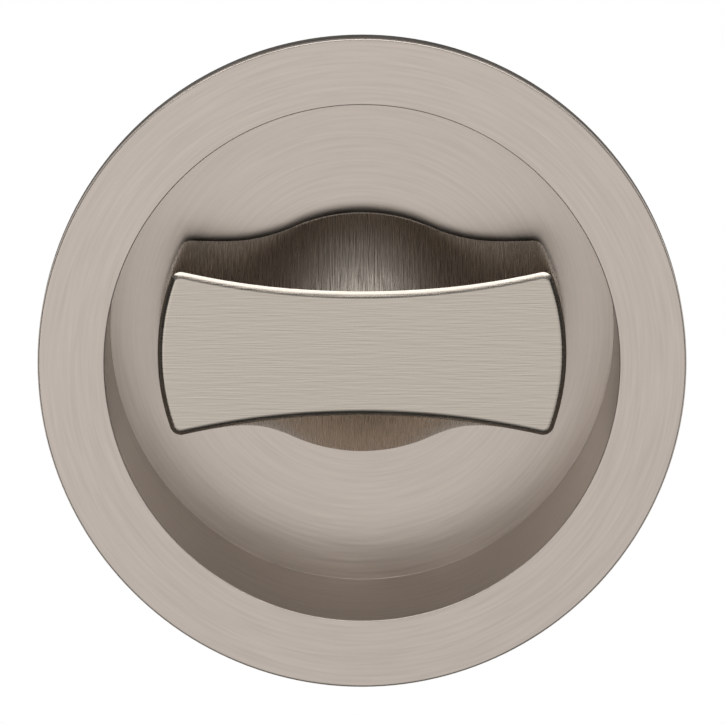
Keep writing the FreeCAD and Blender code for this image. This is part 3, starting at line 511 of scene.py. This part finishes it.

# %% [markdown]
# ## Surfaces for satin metal
#
# A imported solid is a mesh of loose flat triangles. On matt plastic that hardly shows, but
# satin metal bends its reflections at every facet. The three pieces that the eye rests on
# are therefore modelled anew with bmesh operators, at the solids' own sizes: the cup, the
# turn and the screws.
#
# Each of them ends the same way. Doubled corners are merged, normals are recalculated so
# that faces point outwards, and edges under a given angle are shaded smooth. Weighted
# normals then keep large flat faces flat right up to their small roundings. Each piece also
# hides the solid it stands for, rides on that solid's body and takes its given finish.

# %% Helper: which body and slot a node has
def body_of_node(node):
    """The body that a node belongs to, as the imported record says."""
    bodies = frame["record"]["behaviour"]["bodies"]
    return [body for body, members in bodies.items() if node in members][0]


def slot_of_node(node):
    """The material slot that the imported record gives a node."""
    return [part["material_slot"] for part in frame["record"]["subparts"] if part["node"] == node][0]


# %% Helper: a shaded piece
WELD = 0.0008 * MM
SLIVER = 0.0005 * MM
SHARP_FROM = math.radians(28)


def shaded_piece(bm, name, node, material, outward=True):
    """Welds a bmesh and makes it the piece that stands for a node."""
    bmesh.ops.remove_doubles(bm, verts=bm.verts, dist=WELD)
    bmesh.ops.dissolve_degenerate(bm, edges=bm.edges, dist=SLIVER)
    if outward:
        bmesh.ops.recalc_face_normals(bm, faces=bm.faces)
    for face in bm.faces:
        face.smooth = True
    mesh = bpy.data.meshes.new(name)
    bm.to_mesh(mesh)
    open_edges = sum(not edge.is_manifold for edge in bm.edges)
    bm.free()
    mesh.set_sharp_from_angle(angle=SHARP_FROM)
    mesh.materials.append(material)
    piece = bpy.data.objects.new(name, mesh)
    bpy.context.scene.collection.objects.link(piece)
    weighted = piece.modifiers.new("flat_faces_first", "WEIGHTED_NORMAL")
    weighted.keep_sharp = True
    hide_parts(node)
    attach(piece, body_of_node(node))
    print("%-24s %6d faces, %d open edges" % (name, len(mesh.polygons), open_edges))


# %% Helper: turned shapes
ROUND_STEPS = 4


def turn_on_lathe(bm, corners, steps, closed=True):
    """Spins an outline about the Y axis. A corner is (radius, depth, rounding), in mm."""
    ring = [bm.verts.new((radius * MM, depth * MM, 0)) for radius, depth, rounding in corners]
    for one, other in zip(ring, ring[1:] + ring[:1] if closed else ring[1:]):
        bm.edges.new((one, other))
    for corner, (radius, depth, rounding) in zip(ring, corners):
        if rounding:
            bmesh.ops.bevel(bm, geom=[corner], offset=rounding * MM, offset_type="OFFSET",
                            segments=ROUND_STEPS, profile=0.5, affect="VERTICES", material=-1)
    bmesh.ops.spin(bm, geom=bm.verts[:] + bm.edges[:], cent=(0, 0, 0), axis=(0, 1, 0),
                   angle=2 * math.pi, steps=steps, use_merge=True)


# %% Helper: a cut
def carve(bm, cutter_bm):
    """Takes one closed shape out of another and returns the result as a bmesh."""
    things = []
    for label, shape in (("carved", bm), ("cutter", cutter_bm)):
        bmesh.ops.remove_doubles(shape, verts=shape.verts, dist=WELD)
        bmesh.ops.recalc_face_normals(shape, faces=shape.faces)
        mesh = bpy.data.meshes.new(label)
        shape.to_mesh(mesh)
        shape.free()
        things.append(bpy.data.objects.new(label, mesh))
        bpy.context.scene.collection.objects.link(things[-1])
    carved, cutter = things
    cut = carved.modifiers.new("cut", "BOOLEAN")
    cut.operation = "DIFFERENCE"
    cut.solver = "EXACT"
    cut.object = cutter
    depsgraph = bpy.context.evaluated_depsgraph_get()
    result = bmesh.new()
    result.from_object(carved, depsgraph)
    for thing in things:
        bpy.data.objects.remove(thing)
    return result


# %% [markdown]
# ## The cup
#
# The real cup is drawn from brass sheet: a flat plate with softened rims, a nearly
# straight wall and a flat floor. It could be a stack of cylinders with holes, but then
# the roundings would have to be added edge by edge. A lathe profile holds them all at
# once, so the cup is one outline, rounded at its corners and spun about the axis. The two
# screw heads' seats are then cut out of its floor.

# %% Cup: sizes in mm
FLOOR_DEPTH = 9.5
FLOOR_BACK = cup_high.y / MM
PLATE_RADIUS = plate_radius / MM
PLATE_FRONT = plate_front / MM
BARREL_RADIUS = 26.3
MOUTH_RADIUS = 25.2
CUP_FLOOR_RADIUS = 25.1
BORE_RADIUS = 6.2
PLATE_ROUND, MOUTH_ROUND, FLOOR_ROUND, BACK_ROUND = 0.26, 0.15, 0.03, 0.10
SCREW_SPACING = 28.0
SCREW_PLACES = {"left": -SCREW_SPACING / 2, "right": SCREW_SPACING / 2}
HEAD_SEAT_RADIUS, HEAD_RIM, SEAT_BREAK = 3.9, 0.3, 0.05
CUT_OVER = 0.1
CUP_STEPS, SCREW_STEPS = 192, 48
print("recess %.1f mm deep" % (FLOOR_DEPTH - PLATE_FRONT))


# %% Cup
def make_head_seat():
    """The shape that is cut out for a countersunk head, with a broken edge round it."""
    bm = bmesh.new()
    cone_end = HEAD_SEAT_RADIUS - (FLOOR_BACK + CUT_OVER - FLOOR_DEPTH - HEAD_RIM)
    turn_on_lathe(bm, [
        (0, FLOOR_DEPTH - CUT_OVER, 0),
        (HEAD_SEAT_RADIUS + SEAT_BREAK + CUT_OVER, FLOOR_DEPTH - CUT_OVER, 0),
        (HEAD_SEAT_RADIUS, FLOOR_DEPTH + SEAT_BREAK, 0),
        (HEAD_SEAT_RADIUS, FLOOR_DEPTH + HEAD_RIM, 0),
        (cone_end, FLOOR_BACK + CUT_OVER, 0),
        (0, FLOOR_BACK + CUT_OVER, 0),
    ], SCREW_STEPS, closed=False)
    return bm


def make_cup_shell():
    """Plate, wall and floor in one turned piece, with the two sunk screw holes."""
    bm = bmesh.new()
    turn_on_lathe(bm, [
        (BORE_RADIUS, FLOOR_DEPTH, 0),
        (CUP_FLOOR_RADIUS, FLOOR_DEPTH, FLOOR_ROUND),
        (MOUTH_RADIUS, PLATE_FRONT, MOUTH_ROUND),
        (PLATE_RADIUS, PLATE_FRONT, PLATE_ROUND),
        (PLATE_RADIUS, 0, BACK_ROUND),
        (BARREL_RADIUS, 0, 0),
        (BARREL_RADIUS, FLOOR_BACK, BACK_ROUND),
        (BORE_RADIUS, FLOOR_BACK, 0),
    ], CUP_STEPS)
    for across in SCREW_PLACES.values():
        seat = make_head_seat()
        bmesh.ops.translate(seat, verts=seat.verts, vec=(across * MM, 0, 0))
        bm = carve(bm, seat)
    shaded_piece(bm, "cup_shell", "cup", ring_nickel)


make_cup_shell()

# %% [markdown]
# ## The turn
#
# The real turn is a forging: a bow-tie face whose long edges are one shallow hollow arc,
# flaring down to a base that swells in the middle to cover the stem. All outlines are
# arcs, and an arc is a point spun about a centre. So a quarter of each outline is drawn as
# a chain of arcs and mirrored twice. Then the face's loop is bridged to the base's loop,
# and the socket for the stem is sunk into the back.
#
# Between face and flanks runs a narrow glossy rim. It could be one round bevel, but in the
# photograph it is one crisp line of even width, so it is a chamfer with softened edges: the
# face is inset and pushed forward. The flanks are also a trifle fuller than straight.

# %% Turn: sizes in mm
turn_low, turn_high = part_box("thumbturn")
FACE_DEPTH, BASE_DEPTH = turn_low.y / MM, turn_high.y / MM
HUB_LENGTH, HUB_HEIGHT = turn_high.x / MM, turn_high.z / MM
FACE_LENGTH, FACE_BOW, FACE_CORNER, FACE_WAIST = 20.1, 1.6, 8.2, 6.05
HUB_BOW, HUB_CORNER = 2.5, 9.0
VALLEY_ACROSS, VALLEY_HEIGHT = 13.6, 8.9
BAND_HEIGHT = 0.6
BAND_DEPTH = BASE_DEPTH - BAND_HEIGHT
CORNER_ROUND = 1.1
RIM_WIDTH, RIM_DROP, RIM_INNER_ROUND, RIM_OUTER_ROUND = 0.55, 0.32, 0.15, 0.05
SHOULDER_DEPTH = FACE_DEPTH + RIM_DROP
FLANK_BULGE = 0.2
BASE_ROUND = 0.15
STEM_RADIUS, SOCKET_DEPTH = 5.0, 4.5
ARC_STEPS, SHORT_STEPS = 12, 8
RIM_STEPS = 5
FLANK_CUTS = 5
MERGE = 0.001 * MM
print("turn %.1f by %.1f mm" % (2 * HUB_LENGTH, 2 * HUB_HEIGHT))


# %% Turn: arcs
def arc_radius(half_chord, bow):
    """The radius of an arc that bulges by bow over a chord."""
    return (half_chord ** 2 + bow ** 2) / (2 * bow)


def spot(x, z):
    """A point in the outline's plane."""
    return Vector((x, 0, z))


def crossing(one, one_reach, other, other_reach):
    """The right-hand point that lies at given distances from two centres."""
    span = other - one
    along = (one_reach ** 2 - other_reach ** 2 + span.length_squared) / (2 * span.length)
    off = math.sqrt(one_reach ** 2 - along ** 2)
    aside = Vector((-span.z, 0, span.x)).normalized() * off
    foot = one + span.normalized() * along
    return max(foot + aside, foot - aside, key=lambda point: point.x)


def rounded_end(long_centre, long_radius, length, bow, corner_height):
    """The rounded corner and the bowed end: pairs of a centre and the point it leads to."""
    end_radius = arc_radius(corner_height, bow)
    end_centre = spot(length - end_radius, 0)
    corner = crossing(long_centre, long_radius + CORNER_ROUND, end_centre, end_radius - CORNER_ROUND)
    leave = long_centre + (corner - long_centre) * long_radius / (long_radius + CORNER_ROUND)
    land = end_centre + (corner - end_centre) * end_radius / (end_radius - CORNER_ROUND)
    return [(long_centre, leave, SHORT_STEPS), (corner, land, SHORT_STEPS),
            (end_centre, spot(length, 0), ARC_STEPS)]


def height_on(centre, radius, x, side):
    """The outline's point over x on a circle, above or below its centre."""
    return spot(x, centre.z + side * math.sqrt(radius ** 2 - (x - centre.x) ** 2))


# %% Turn: the two quarter outlines
def face_quarter():
    """The face's start point, and its arcs as (centre, end, steps)."""
    corner_across = FACE_LENGTH - FACE_BOW
    radius = arc_radius(corner_across, FACE_CORNER - FACE_WAIST)
    centre = spot(0, FACE_WAIST + radius)
    chain = [(centre, height_on(centre, radius, VALLEY_ACROSS / 2, -1), ARC_STEPS),
             (centre, height_on(centre, radius, VALLEY_ACROSS, -1), ARC_STEPS)]
    end = rounded_end(centre, radius, FACE_LENGTH, FACE_BOW, FACE_CORNER)
    return spot(0, FACE_WAIST), chain + end


def base_quarter():
    """The same for the base: a round swelling, a hollow, and a nearly straight stretch."""
    swell = HUB_HEIGHT - VALLEY_HEIGHT
    radius = arc_radius(VALLEY_ACROSS / 2, swell / 2)
    swell_centre = spot(0, HUB_HEIGHT - radius)
    hollow_centre = spot(VALLEY_ACROSS, VALLEY_HEIGHT + radius)
    run = HUB_LENGTH - HUB_BOW - VALLEY_ACROSS
    flat_radius = arc_radius(run, HUB_CORNER - VALLEY_HEIGHT)
    flat_centre = spot(VALLEY_ACROSS, VALLEY_HEIGHT + flat_radius)
    chain = [(swell_centre, height_on(swell_centre, radius, VALLEY_ACROSS / 2, 1), ARC_STEPS),
             (hollow_centre, spot(VALLEY_ACROSS, VALLEY_HEIGHT), ARC_STEPS)]
    end = rounded_end(flat_centre, flat_radius, HUB_LENGTH, HUB_BOW, HUB_CORNER)
    return spot(0, HUB_HEIGHT), chain + end


def draw_quarter(bm, start, chain, depth):
    """A wire of spun points: each arc goes on from where the last one ended."""
    lift = Vector((0, depth, 0))
    last = bm.verts.new((start + lift) * MM)
    for centre, end, steps in chain:
        here = last.co / MM - centre
        there = end - centre
        angle = math.atan2(here.z * there.x - here.x * there.z, here.x * there.x + here.z * there.z)
        swept = bmesh.ops.spin(bm, geom=[last], cent=(centre + lift) * MM, axis=(0, 1, 0),
                               angle=angle, steps=steps)
        last = swept["geom_last"][0]


# %% Turn: helpers for its loops
def loop_at(bm, depth):
    """The edges that lie flat at a depth."""
    return [edge for edge in bm.edges
            if all(abs(vert.co.y - depth * MM) < MERGE for vert in edge.verts)]


def extrude_loop(bm, loop, depth):
    """Pulls a wall out of a loop, along Y."""
    wall = bmesh.ops.extrude_edge_only(bm, edges=loop)["geom"]
    moved = [part for part in wall if isinstance(part, bmesh.types.BMVert)]
    bmesh.ops.translate(bm, verts=moved, vec=(0, depth * MM, 0))


def soften(bm, loop, rounding, steps):
    """Rounds the edges of a loop."""
    bmesh.ops.bevel(bm, geom=loop, offset=rounding * MM, offset_type="OFFSET", segments=steps,
                    profile=0.5, affect="EDGES", material=-1)


def is_on_flank(edge):
    """Whether an edge runs along the depth from the rim to the band, outside the socket."""
    depths = [vert.co.y / MM for vert in edge.verts]
    middle = (SHOULDER_DEPTH + BAND_DEPTH) / 2
    reach = max(abs(vert.co.x) + abs(vert.co.z) for vert in edge.verts) / MM
    return min(depths) < middle < max(depths) and reach > 1.5 * STEM_RADIUS


def fill_out_flanks(bm):
    """Cuts the flanks into strips and bows them out of the straight."""
    flank = [edge for edge in bm.edges if is_on_flank(edge)]
    bmesh.ops.subdivide_edges(bm, edges=flank, cuts=FLANK_CUTS, use_grid_fill=True)
    for vert in bm.verts:
        share = (vert.co.y / MM - SHOULDER_DEPTH) / (BAND_DEPTH - SHOULDER_DEPTH)
        if 0 < share < 1 and abs(vert.co.z) > STEM_RADIUS * MM:
            bow = FLANK_BULGE * 4 * share * (1 - share)
            vert.co.z += math.copysign(bow * MM, vert.co.z)


# %% Turn: the piece
def make_turn_grip():
    """Face, flared flanks, base band, back and stem socket as one closed mesh."""
    bm = bmesh.new()
    draw_quarter(bm, *face_quarter(), SHOULDER_DEPTH)
    draw_quarter(bm, *base_quarter(), BAND_DEPTH)
    for axis in "XZ":
        bmesh.ops.mirror(bm, geom=bm.verts[:] + bm.edges[:], matrix=Matrix.Identity(4),
                         merge_dist=MERGE, axis=axis)
    face_loop = loop_at(bm, SHOULDER_DEPTH)
    band_loop = loop_at(bm, BAND_DEPTH)
    bmesh.ops.bridge_loops(bm, edges=face_loop + band_loop)
    front = bmesh.ops.contextual_create(bm, geom=face_loop)["faces"][0]
    extrude_loop(bm, band_loop, BAND_HEIGHT)
    back_loop = loop_at(bm, BASE_DEPTH)
    # The back is a ring of faces between the base's loop and the socket's mouth
    lay_back = Matrix.Rotation(math.radians(-90), 4, "X")
    lay_back.translation = (0, BASE_DEPTH * MM, 0)
    bmesh.ops.create_circle(bm, cap_ends=False, segments=len(back_loop),
                            radius=STEM_RADIUS * MM, matrix=lay_back)
    mouth_loop = [edge for edge in loop_at(bm, BASE_DEPTH) if edge not in back_loop]
    bmesh.ops.bridge_loops(bm, edges=back_loop + mouth_loop)
    extrude_loop(bm, mouth_loop, -SOCKET_DEPTH)
    bmesh.ops.contextual_create(bm, geom=loop_at(bm, BASE_DEPTH - SOCKET_DEPTH))
    bmesh.ops.recalc_face_normals(bm, faces=bm.faces)
    soften(bm, back_loop, BASE_ROUND, 2)
    # The rim: the front is inset, pushed forward, and both edges are softened
    bmesh.ops.inset_region(bm, faces=[front], thickness=RIM_WIDTH * MM, use_even_offset=True,
                           use_boundary=True)
    bmesh.ops.translate(bm, verts=front.verts, vec=(0, -RIM_DROP * MM, 0))
    soften(bm, loop_at(bm, FACE_DEPTH), RIM_INNER_ROUND, RIM_STEPS)
    soften(bm, loop_at(bm, SHOULDER_DEPTH), RIM_OUTER_ROUND, RIM_STEPS)
    fill_out_flanks(bm)
    shaded_piece(bm, "turn_grip", "thumbturn", belt_nickel)


make_turn_grip()

# %% [markdown]
# ## The mounting screws
#
# Two countersunk machine screws hold the trim in the door. They hide under the turn while
# it lies level and show when it stands upright. A screw is a turned body with a thread
# round its shank. The thread could be a picture of rings, but its outline shows from the
# side. So the thread's small section is spun about the axis many times while it travels
# along, which makes a true helix. The cross recess is carved out with two crossing bars
# that narrow towards the bottom.

# %% Screws: sizes in mm
SCREW_HEAD_RADIUS, SCREW_NECK_RADIUS, SCREW_RADIUS = 3.75, 1.75, 2.0
HEAD_ROUND, TIP_CHAMFER = 0.06, 0.4
THREAD_START, SCREW_END = 16.0, 34.5
THREAD_PITCH, THREAD_ROOT = 0.7, 1.6
THREAD_FOOT, THREAD_CREST = 0.60, 0.08
THREAD_SINK, THREAD_STOP = 0.1, 0.5
THREAD_STEPS = 24
DRIVE_WIDTH, DRIVE_REACH, DRIVE_DEPTH = 1.0, 2.0, 1.3
DRIVE_TAPER, DRIVE_OVER = 0.8, 0.2
print("thread turns: %.0f" % ((SCREW_END - THREAD_START) / THREAD_PITCH))


# %% Screws
def wind_thread(bm):
    """A closed ridge that runs round the shank as a helix."""
    first = THREAD_START + THREAD_PITCH / 2
    turns = (SCREW_END - THREAD_STOP - first) / THREAD_PITCH
    inside = THREAD_ROOT - THREAD_SINK
    section = [(inside, -THREAD_FOOT / 2), (SCREW_RADIUS, -THREAD_CREST / 2),
               (SCREW_RADIUS, THREAD_CREST / 2), (inside, THREAD_FOOT / 2)]
    start = bm.faces.new([bm.verts.new((radius * MM, (first + shift) * MM, 0))
                          for radius, shift in section])
    steps = round(turns * THREAD_STEPS)
    bmesh.ops.spin(bm, geom=[start], cent=(0, 0, 0), axis=(0, 1, 0),
                   dvec=(0, THREAD_PITCH / THREAD_STEPS * MM, 0),
                   angle=2 * math.pi * steps / THREAD_STEPS, steps=steps)


def cross_cutter():
    """Two crossing bars that narrow towards the bottom of the recess."""
    bm = bmesh.new()
    bmesh.ops.create_cube(bm, size=1)
    middle = FLOOR_DEPTH + (DRIVE_DEPTH - DRIVE_OVER) / 2
    bmesh.ops.scale(bm, verts=bm.verts,
                    vec=Vector((DRIVE_WIDTH, DRIVE_DEPTH + DRIVE_OVER, DRIVE_WIDTH)) * MM)
    bmesh.ops.translate(bm, verts=bm.verts, vec=(0, middle * MM, 0))
    sides = [face for face in bm.faces if abs(face.normal.y) < 0.5]
    for side in sides:
        outward = side.normal.copy()
        arm = bmesh.ops.extrude_discrete_faces(bm, faces=[side])["faces"][0]
        bmesh.ops.translate(bm, verts=arm.verts, vec=outward * (DRIVE_REACH - DRIVE_WIDTH / 2) * MM)
        deep = [vert for vert in arm.verts if vert.co.y > middle * MM]
        bmesh.ops.translate(bm, verts=deep, vec=-outward * DRIVE_TAPER * MM)
    return bm


def make_mounting_screw(across):
    """Head, neck, shank and thread, then the recess, moved to its place."""
    head = bmesh.new()
    cone = SCREW_HEAD_RADIUS - SCREW_NECK_RADIUS
    step_up = SCREW_NECK_RADIUS - THREAD_ROOT
    turn_on_lathe(head, [
        (0, FLOOR_DEPTH, 0),
        (SCREW_HEAD_RADIUS, FLOOR_DEPTH, HEAD_ROUND),
        (SCREW_HEAD_RADIUS, FLOOR_DEPTH + HEAD_RIM, 0),
        (SCREW_NECK_RADIUS, FLOOR_DEPTH + HEAD_RIM + cone, 0),
        (SCREW_NECK_RADIUS, THREAD_START, 0),
        (THREAD_ROOT, THREAD_START + step_up, 0),
        (THREAD_ROOT, SCREW_END - TIP_CHAMFER, 0),
        (THREAD_ROOT - TIP_CHAMFER, SCREW_END, 0),
        (0, SCREW_END, 0),
    ], SCREW_STEPS, closed=False)
    bm = carve(head, cross_cutter())
    wind_thread(bm)
    bmesh.ops.translate(bm, verts=bm.verts, vec=(across * MM, 0, 0))
    return bm


# %% [markdown]
# ## The mechanism's finishes
#
# Each hidden part has the look of how it is made. The die-cast zinc of the carrier is grey
# and grainy. Brass, plated steel and hardened steel come off a lathe or a press with faint
# rings. The spring wire is drawn and dark. Nylon is moulded, so it is dull, pale and
# slightly mottled. One table holds these differences, and one helper builds them all.

# %% Helper: even grain
def even_grain(spots_per_mm):
    """Spots that are alike in all directions, as on castings and mouldings."""
    def build(tree):
        where = add(tree, "ShaderNodeTexCoord")
        scaled = add(tree, "ShaderNodeVectorMath",
                     {0: where.outputs["Object"], "Scale": spots_per_mm / MM}, operation="SCALE")
        return scaled.outputs["Vector"], 1.0, 1.0
    return build


# %% Metals and nylon of the mechanism
MECHANISM_FINISHES = {
    "zinc_casting": dict(colour=(0.42, 0.43, 0.44), roughness=0.46, lay_marks=even_grain(3.5),
                         bump=1.0, shift=0.10),
    "bushing_brass": dict(colour=(0.62, 0.45, 0.20), roughness=0.28, lay_marks=lathe_rings(5.0, 0.3)),
    "spring_steel": dict(colour=(0.30, 0.30, 0.31), roughness=0.30, lay_marks=even_grain(2.0)),
    "plated_steel": dict(colour=(0.52, 0.52, 0.49), roughness=0.30, lay_marks=lathe_rings(5.0, 0.3)),
    "hardened_steel": dict(colour=(0.25, 0.25, 0.27), roughness=0.34, lay_marks=lathe_rings(4.0, 0.3)),
    "white_plastic": dict(colour=(0.74, 0.73, 0.68), roughness=0.50, lay_marks=even_grain(1.5),
                          bump=0.3, shift=0.04, metallic=0.0),
}
finish = {slot: marked_surface(slot, **values) for slot, values in MECHANISM_FINISHES.items()}
print("finishes:", ", ".join(finish))

# %% Mounting screws in place
for hand, across in SCREW_PLACES.items():
    node = "mounting_screw_" + hand
    shaded_piece(make_mounting_screw(across), "countersunk_screw_" + hand, node,
                 finish[slot_of_node(node)])

# %% [markdown]
# ## The rest of the mechanism
#
# The other sixteen solids sit in or behind the cup's floor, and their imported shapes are
# detailed enough. They could stay as they are, but then their loose triangles would show
# in the metal. So each is copied and welded. Triangles that lie in one plane are joined
# again, because long thin ones shade unevenly, and round faces are shaded smooth.

# %% The other solids
ONE_PLANE = math.radians(0.5)


def smooth_copy(node):
    """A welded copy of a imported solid, shaded smooth."""
    bm = bmesh.new()
    bm.from_mesh(frame["nodes"][node].data)
    bmesh.ops.remove_doubles(bm, verts=bm.verts, dist=WELD)
    bmesh.ops.dissolve_limit(bm, angle_limit=ONE_PLANE, verts=bm.verts, edges=bm.edges)
    shaded_piece(bm, node + "_part", node, finish[slot_of_node(node)], outward=False)


modelled = {"cup", "thumbturn", "mounting_screw_left", "mounting_screw_right"}
for node in sorted(set(frame["nodes"]) - modelled):
    smooth_copy(node)
